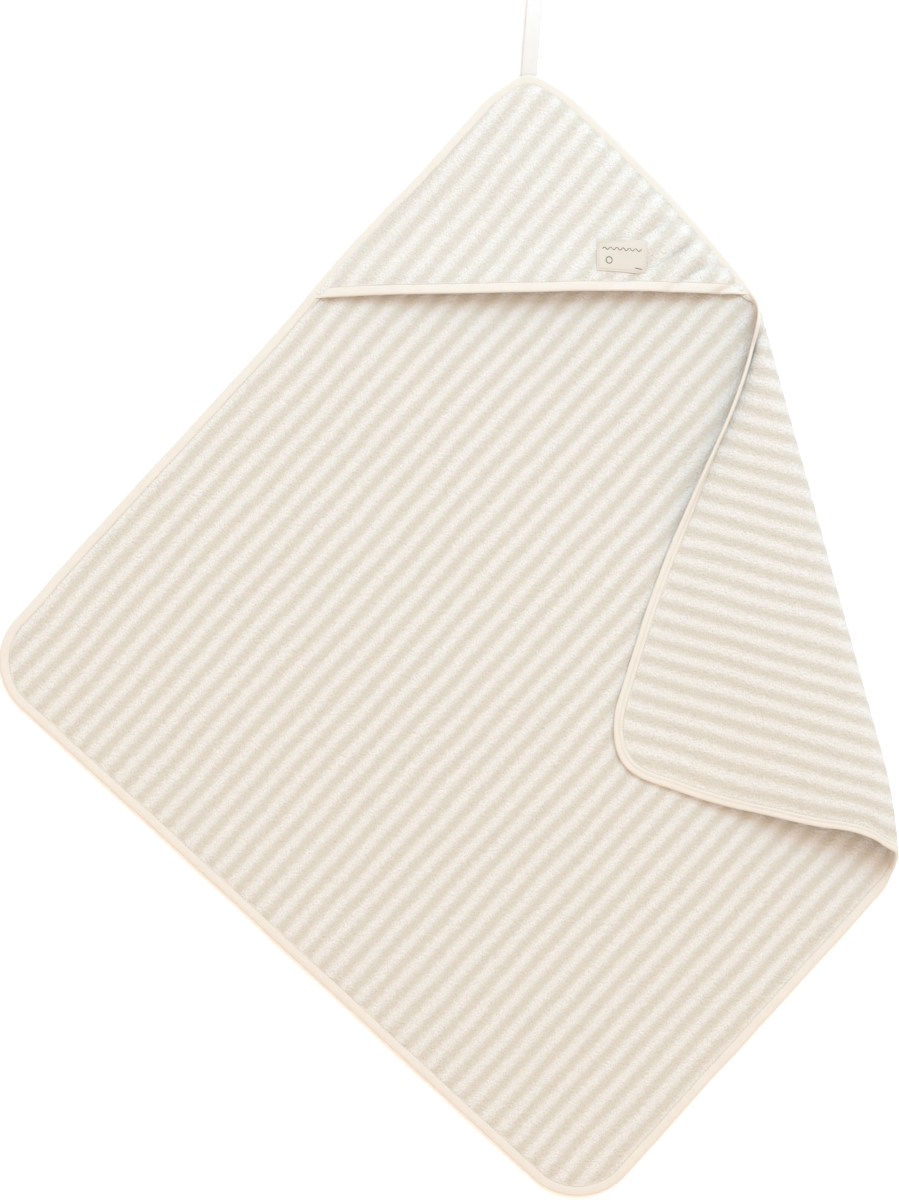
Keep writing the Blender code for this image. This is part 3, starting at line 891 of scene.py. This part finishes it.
def hood_stripes(u, v):
    """Stripe count on the hood, whose stripes run a little off the towel's."""
    turned = v * math.cos(HOOD_STRIPE_TURN) + (u - HALF) * math.sin(HOOD_STRIPE_TURN)
    return turned / HOOD_STRIPE_PERIOD - HOOD_STRIPE_PHASE / (2 * math.pi)


def bend_over_fold(piece):
    """Read the fold's joint, then bake a piece between the lower and upper cloth in place; it
    is not made to turn with the folded corner.
    """
    joint = next(joint for joint in frame["joints"] if joint["name"] == "corner_fold")
    line = np.array(joint["axis"])
    up = np.array([0.0, 0.0, 1.0]) - line * line[2]
    up *= FOLD_SLAB / np.linalg.norm(up)
    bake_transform(piece)


def bend_with_hood(piece, leg_end):
    """Find the hood half's corner, leg end and middle on the floor, then bake the piece in
    place; it is not made to lift at its middle.
    """
    points = [(HALF, -HALF), leg_end, (HALF - HOOD_BLEND, HOOD_BLEND - HALF)]
    places = laid(*np.transpose(points), 0.0)
    places[:, 2] = 0.0
    corner, leg_end, middle = places
    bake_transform(piece)


def build_towel(terry):
    """The terry square in three pieces: flat part, roll and folded corner."""
    count = int(round(SIDE / CLOTH_CELL)) + 1
    line = np.linspace(-HALF, HALF, count)
    u, v = np.meshgrid(line, line, indexing="ij")
    inset = edge_inset(u, v)
    cells = np.all(cell_corners(inset > CLOTH_REACH), axis=0)
    turn = np.mean(cell_corners(rolled(u, v)), axis=0)
    low, high = SPLIT_TURNS
    parts = [
        ("body_terry", "body_panel", turn < low, "laid", ["floor"]),
        ("fold_terry", "fold_roll", (turn >= low) & (turn <= high), "folded", ["floor"]),
        ("corner_terry", "corner_panel", turn > high, "folded", ["body_terry"]),
    ]
    for name, node, mask, held, rests_on in parts:
        kept = cells & mask
        piece = slab(name, u, v, kept, laid, half_thickness(inset), towel_stripes)
        give(piece, terry, "striped_terry", node)
        if node == "body_panel":
            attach(piece, "towel")
        elif node == "corner_panel":
            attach(piece, "corner")
        else:
            bend_over_fold(piece)


LEG_ENDS = {
    "left": (HALF - HOOD_LEG, -HALF),
    "right": (HALF, HOOD_LEG - HALF),
}


def mouth_point(sideways, inset):
    """Cloth point of the hood, from its middle towards its right leg and in from its mouth."""
    sag = MOUTH_SAG * np.cos(math.pi / 2 * np.clip(sideways / HOOD_DEPTH, -1.0, 1.0))
    depth = HOOD_DEPTH + sag - inset
    u = HALF - (depth - sideways) / math.sqrt(2)
    v = -HALF + (depth + sideways) / math.sqrt(2)
    return u, v


def build_hood_cloth(terry):
    """The hood's terry, in two halves that meet on its middle line."""
    count = int(round(HOOD_DEPTH / CLOTH_CELL))
    sideways = np.linspace(-HOOD_DEPTH, HOOD_DEPTH, 2 * count + 1)
    insets = np.linspace(CLOTH_REACH, HOOD_DEPTH, count + 1)
    side, inset = np.meshgrid(sideways, insets, indexing="ij")
    u, v = mouth_point(side, inset)
    cells = np.all(cell_corners(edge_inset(u, v) > CLOTH_REACH), axis=0)
    middle = (side[:-1, :-1] + side[1:, 1:]) / 2
    half = half_thickness(np.minimum(edge_inset(u, v), inset))
    for label, mask in (("left", middle < 0), ("right", middle > 0)):
        kept = cells & mask
        name = f"hood_terry_{label}"
        piece = slab(name, u, v, kept, hooded, half, hood_stripes)
        give(piece, terry, "striped_terry", "hood_panel")
        bend_with_hood(piece, LEG_ENDS[label])


def mouth_place(share, inset, height):
    """World points of the hood's mouth; share runs from -1 to 1 between its sewn ends."""
    sideways = share * (HOOD_DEPTH - MOUTH_MARGIN - inset)
    u, v = mouth_point(sideways, inset)
    low, high = MOUTH_PRESS
    clear = smooth((edge_inset(u, v) - low) / (high - low))
    press = MOUTH_PRESSED + (1.0 - MOUTH_PRESSED) * clear
    return hooded(u, v, height * press)


def build_mouth(tape, thread):
    """The tape along the hood's mouth and its seam, in two halves."""
    inset, height, across = tape_section()
    pitch = STITCH_PITCH / HOOD_DEPTH
    for label, first, last in (("left", -1.0, 0.0), ("right", 0.0, 1.0)):
        share = np.linspace(first, last, int(HOOD_DEPTH / BINDING_STEP))
        length = share * HOOD_DEPTH
        heights = height[None, :] * pucker(length, MOUTH_PUCKER_SEED)[:, None]
        rings = mouth_place(share[:, None], inset[None, :], heights)
        piece = sweep(f"mouth_binding_{label}", rings, across, length)
        give(piece, tape, "cream_binding", "hood_edge_binding")
        bend_with_hood(piece, LEG_ENDS[label])
        sewn = (MOUTH_SEWN * first, MOUTH_SEWN * last)
        seam = seam_on(f"mouth_seam_{label}", mouth_place, *sewn, pitch)
        give(seam, thread, "cream_thread", "hood_edge_stitching")
        bend_with_hood(seam, LEG_ENDS[label])


def build_edges(tape, thread):
    """The edge tape and its seams, over every stretch of the folded towel."""
    nodes = {
        "edge": ("edge_binding", "edge_stitching"),
        "fold_open": ("fold_open_end_binding",),
        "fold_hood": ("fold_hood_end_binding",),
        "corner": ("corner_binding", "corner_stitching"),
    }
    for run, names in nodes.items():
        pieces = [give(build_binding(f"{run}_binding", run), tape, "cream_binding", names[0])]
        for seam in build_edge_seams(run):
            pieces.append(give(seam, thread, "cream_thread", *names[1:]))
        for piece in pieces:
            if run == "edge":
                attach(piece, "towel")
            elif run == "corner":
                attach(piece, "corner")
            else:
                bend_over_fold(piece)


# ---------------------------------------------------------------- label

def label_place(x, y, height):
    """World points on the label, x and y from its centre."""
    u = LABEL_CENTRE[0] + x * math.cos(TILT) + y * math.sin(TILT)
    v = LABEL_CENTRE[1] + x * math.sin(TILT) - y * math.cos(TILT)
    return hooded(u, v, CLOTH / 2 + height)


def build_label(cotton, thread, ink):
    """Woven cotton label with generic printed marks, sewn down all round."""
    width, depth = LABEL_SIZE
    columns = np.linspace(-width / 2, width / 2, LABEL_GRID[0] + 1)
    rows = np.linspace(-depth / 2, depth / 2, LABEL_GRID[1] + 1)
    x, y = np.meshgrid(columns, rows, indexing="ij")
    cells = np.ones(LABEL_GRID, dtype=bool)
    half = np.full(x.shape, LABEL_HALF)
    piece = slab("label_patch", x, y, cells, label_cloth, half, lambda a, b: a)
    give(piece, cotton, "label_cotton", "hood_label")
    bend_with_hood(piece, LEG_ENDS["right"])
    build_label_seam(thread)
    build_label_marks(ink)


def label_cloth(x, y, height):
    """World points of the label's cloth, which is drawn down at its sewn edge."""
    edge = np.minimum(LABEL_SIZE[0] / 2 - np.abs(x), LABEL_SIZE[1] / 2 - np.abs(y))
    rise = LABEL_RISE * smooth(edge / LABEL_RISE_WIDTH) + layered(x, y, (LABEL_UNEVEN,))
    return label_place(x, y, LABEL_LIFT + rise + height)


def on_label(x, y, height):
    """World points on the label's face, which stands a little off the hood."""
    return label_place(x, y, LABEL_LIFT + LABEL_RISE + LABEL_HALF + height)


def build_label_seam(thread):
    """Running stitch round the label, just inside its edge."""
    half_x = LABEL_SIZE[0] / 2 - LABEL_SEAM_INSET
    half_y = LABEL_SIZE[1] / 2 - LABEL_SEAM_INSET
    corners = [(-half_x, -half_y), (half_x, -half_y), (half_x, half_y), (-half_x, half_y)]
    starts = []
    ends = []
    for i, corner in enumerate(corners):
        begin = np.array(corner)
        finish = np.array(corners[(i + 1) % 4])
        count = int(np.linalg.norm(finish - begin) / LABEL_STITCH)
        step = (finish - begin) / count
        for j in range(count):
            starts.append(begin + step * (j + LABEL_STITCH_SPAN[0]))
            ends.append(begin + step * (j + LABEL_STITCH_SPAN[1]))
    first = on_label(*np.transpose(starts), -LABEL_SEAM_SINK)
    last = on_label(*np.transpose(ends), -LABEL_SEAM_SINK)
    ups = np.tile([0.0, 0.0, 1.0], (len(starts), 1))
    seam = stitches("label_seam", first, last, ups)
    give(seam, thread, "cream_thread", "label_stitching")
    bend_with_hood(seam, LEG_ENDS["right"])


def ribbon(name, path):
    """Thin closed cord lying on the label along a path of (x, y) points."""
    spine = on_label(path[:, 0], path[:, 1], MARK_LIFT)
    ahead = np.gradient(spine, axis=0)
    ahead /= np.linalg.norm(ahead, axis=1, keepdims=True)
    side = np.cross(ahead, [0.0, 0.0, 1.0])
    up = np.cross(side, ahead)
    turn = np.linspace(0.0, 2 * math.pi, THREAD_SIDES + 1)[:-1]
    ring = (side[:, None, :] * np.cos(turn)[None, :, None]
            - up[:, None, :] * np.sin(turn)[None, :, None] * MARK_FLATNESS)
    rings = spine[:, None, :] + ring * MARK_RADIUS
    lengths = np.linspace(0.0, 1.0, len(path))
    return sweep(name, rings, turn, lengths)


def build_label_marks(ink):
    """Generic marks: a wavy line, a ring and a short bar, in dark thread."""
    wave_x = np.linspace(*WAVE_SPAN, WAVE_POINTS)
    wave_y = WAVE_HEIGHT + WAVE_DEPTH * np.sin(wave_x * 2 * math.pi / WAVE_PITCH)
    turn = np.linspace(0.0, RING_TURN, RING_POINTS)
    ring_x = RING_CENTRE[0] + RING_RADIUS * np.cos(turn)
    ring_y = RING_CENTRE[1] + RING_RADIUS * np.sin(turn)
    bar_x = np.linspace(*BAR_SPAN, BAR_POINTS)
    bar_y = np.full(BAR_POINTS, BAR_HEIGHT)
    marks = {
        "label_wave": (wave_x, wave_y),
        "label_ring": (ring_x, ring_y),
        "label_bar": (bar_x, bar_y),
    }
    for name, path in marks.items():
        mark = give(ribbon(name, np.stack(path, axis=-1)), ink, "cream_thread")
        bend_with_hood(mark, LEG_ENDS["right"])


# ---------------------------------------------------------------- hanging loop

def loop_path():
    """Distances out from the corner and heights of the tape's middle, out and back again."""
    out = np.linspace(-LOOP_TUCK, LOOP_END - LOOP_TURN, LOOP_STEPS)
    drop = smooth(out / LOOP_DROP)
    lower = LOOP_ROOT_HEIGHT + (LOOP_HEIGHT - LOOP_ROOT_HEIGHT) * drop
    share = np.clip((out - LOOP_PUFF_START) / (LOOP_END - LOOP_PUFF_START), 0.0, 1.0)
    upper = lower + LOOP_GAP + LOOP_PUFF * np.sin(math.pi * share) ** LOOP_PUFF_SHAPE
    turn = np.linspace(-math.pi / 2, math.pi / 2, LOOP_TURN_POINTS)[1:-1]
    middle = (lower[-1] + upper[-1]) / 2
    radius = (upper[-1] - lower[-1]) / 2
    path_out = np.concatenate([out, out[-1] + LOOP_TURN * np.cos(turn), out[::-1]])
    path_high = np.concatenate([lower, middle + radius * np.sin(turn), upper[::-1]])
    return path_out, path_high


def build_loop(tape):
    """White tape doubled into a loop, its ends caught under the edge tape at the corner."""
    joint = next(joint for joint in frame["joints"] if joint["name"] == "loop_swing")
    root = np.array([joint["pos_m"][0], joint["pos_m"][1], 0.0])
    forward = np.array([math.sin(LOOP_LEAN), math.cos(LOOP_LEAN), 0.0])
    sideways = np.array([math.cos(LOOP_LEAN), -math.sin(LOOP_LEAN), 0.0])
    path_out, path_high = loop_path()
    slope = np.stack([np.gradient(path_out), np.gradient(path_high)], axis=-1)
    slope /= np.linalg.norm(slope, axis=1, keepdims=True)
    width = np.linspace(-0.5, 0.5, LOOP_WIDTH_POINTS)
    half = LOOP_HALF * (1.0 - LOOP_EDGE_THINNING * (2 * np.abs(width)) ** LOOP_EDGE_POWER)
    across = np.concatenate([width, width[::-1]]) * LOOP_WIDTH
    thick = np.concatenate([half, -half[::-1]])
    out = path_out[:, None, None] - slope[:, 1, None, None] * thick[None, :, None]
    rings = root + forward * out + sideways * across[None, :, None]
    rings[..., 2] += path_high[:, None] + slope[:, 0, None] * thick[None, :]
    steps = np.hypot(np.diff(path_out), np.diff(path_high))
    length = np.concatenate([[0.0], np.cumsum(steps)])
    place = np.concatenate([width, width[::-1] + 2.0]) * LOOP_WIDTH
    piece = sweep("loop_tape", rings, place, length)
    give(piece, tape, "white_loop_tape", "hanging_loop")
    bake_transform(piece)


# ---------------------------------------------------------------- the studio

def build_floor():
    """Plain pale floor."""
    size = FLOOR_HALF
    corners = [(-size, -size, 0.0), (size, -size, 0.0), (size, size, 0.0), (-size, size, 0.0)]
    floor = mesh_object("floor", corners, [[0, 1, 2, 3]], {})
    surface = Surface("pale_floor", FLOOR_ROUGHNESS)
    surface.shader.inputs["Base Color"].default_value = FLOOR_COLOUR
    floor.data.materials.append(surface.material)


def build_light(name, place, size, power):
    """Soft round light that points at the towel's middle."""
    data = bpy.data.lights.new(name, "AREA")
    data.shape = "DISK"
    data.size = size
    data.energy = power
    data.color = KEY_LIGHT
    light = bpy.data.objects.new(name, data)
    bpy.context.scene.collection.objects.link(light)
    light.location = place
    light.rotation_euler = (-Vector(place)).to_track_quat("-Z", "Y").to_euler()


def build_world():
    """Even, slightly warm surroundings."""
    world = bpy.data.worlds.new("studio")
    world.use_nodes = True
    background = world.node_tree.nodes["Background"]
    background.inputs["Color"].default_value = (*SOFT_LIGHT, 1.0)
    background.inputs["Strength"].default_value = WORLD_STRENGTH
    bpy.context.scene.world = world


def build_camera():
    """Camera straight above the towel, framed like the photograph."""
    data = bpy.data.cameras.new("camera")
    data.lens = CAMERA_SENSOR * CAMERA_HEIGHT / VIEW_HEIGHT
    data.sensor_width = CAMERA_SENSOR
    data.sensor_height = CAMERA_SENSOR
    data.sensor_fit = "VERTICAL"
    camera = bpy.data.objects.new("camera", data)
    bpy.context.scene.collection.objects.link(camera)
    camera.location = (VIEW_CENTRE[0], VIEW_CENTRE[1], CAMERA_HEIGHT)
    bpy.context.scene.camera = camera


def main():
    bpy.context.scene.view_settings.view_transform = "Standard"
    terry = terry_material("striped_terry_looks", BEIGE, OFF_WHITE)
    hood_terry = terry_material("hood_terry_looks", HOOD_BEIGE, OFF_WHITE)
    tape = tape_material("cream_tape_looks", CREAM, CREAM_WORN, CREAM_RIB)
    white = tape_material("white_tape_looks", WHITE, WHITE_WORN, WHITE_RIB)
    cotton = tape_material("label_cotton_looks", LABEL_CREAM, LABEL_WORN, LABEL_RIB)
    ink = tape_material("label_marks_looks", INK, INK_WORN, LABEL_RIB)
    thread = thread_material()
    build_world()
    build_floor()
    build_light("key", KEY_PLACE, KEY_SIZE, KEY_POWER)
    build_light("fill", FILL_PLACE, FILL_SIZE, FILL_POWER)
    build_camera()
    build_towel(terry)
    build_hood_cloth(hood_terry)
    build_mouth(tape, thread)
    build_edges(tape, thread)
    build_label(cotton, thread, ink)
    build_loop(white)


main()
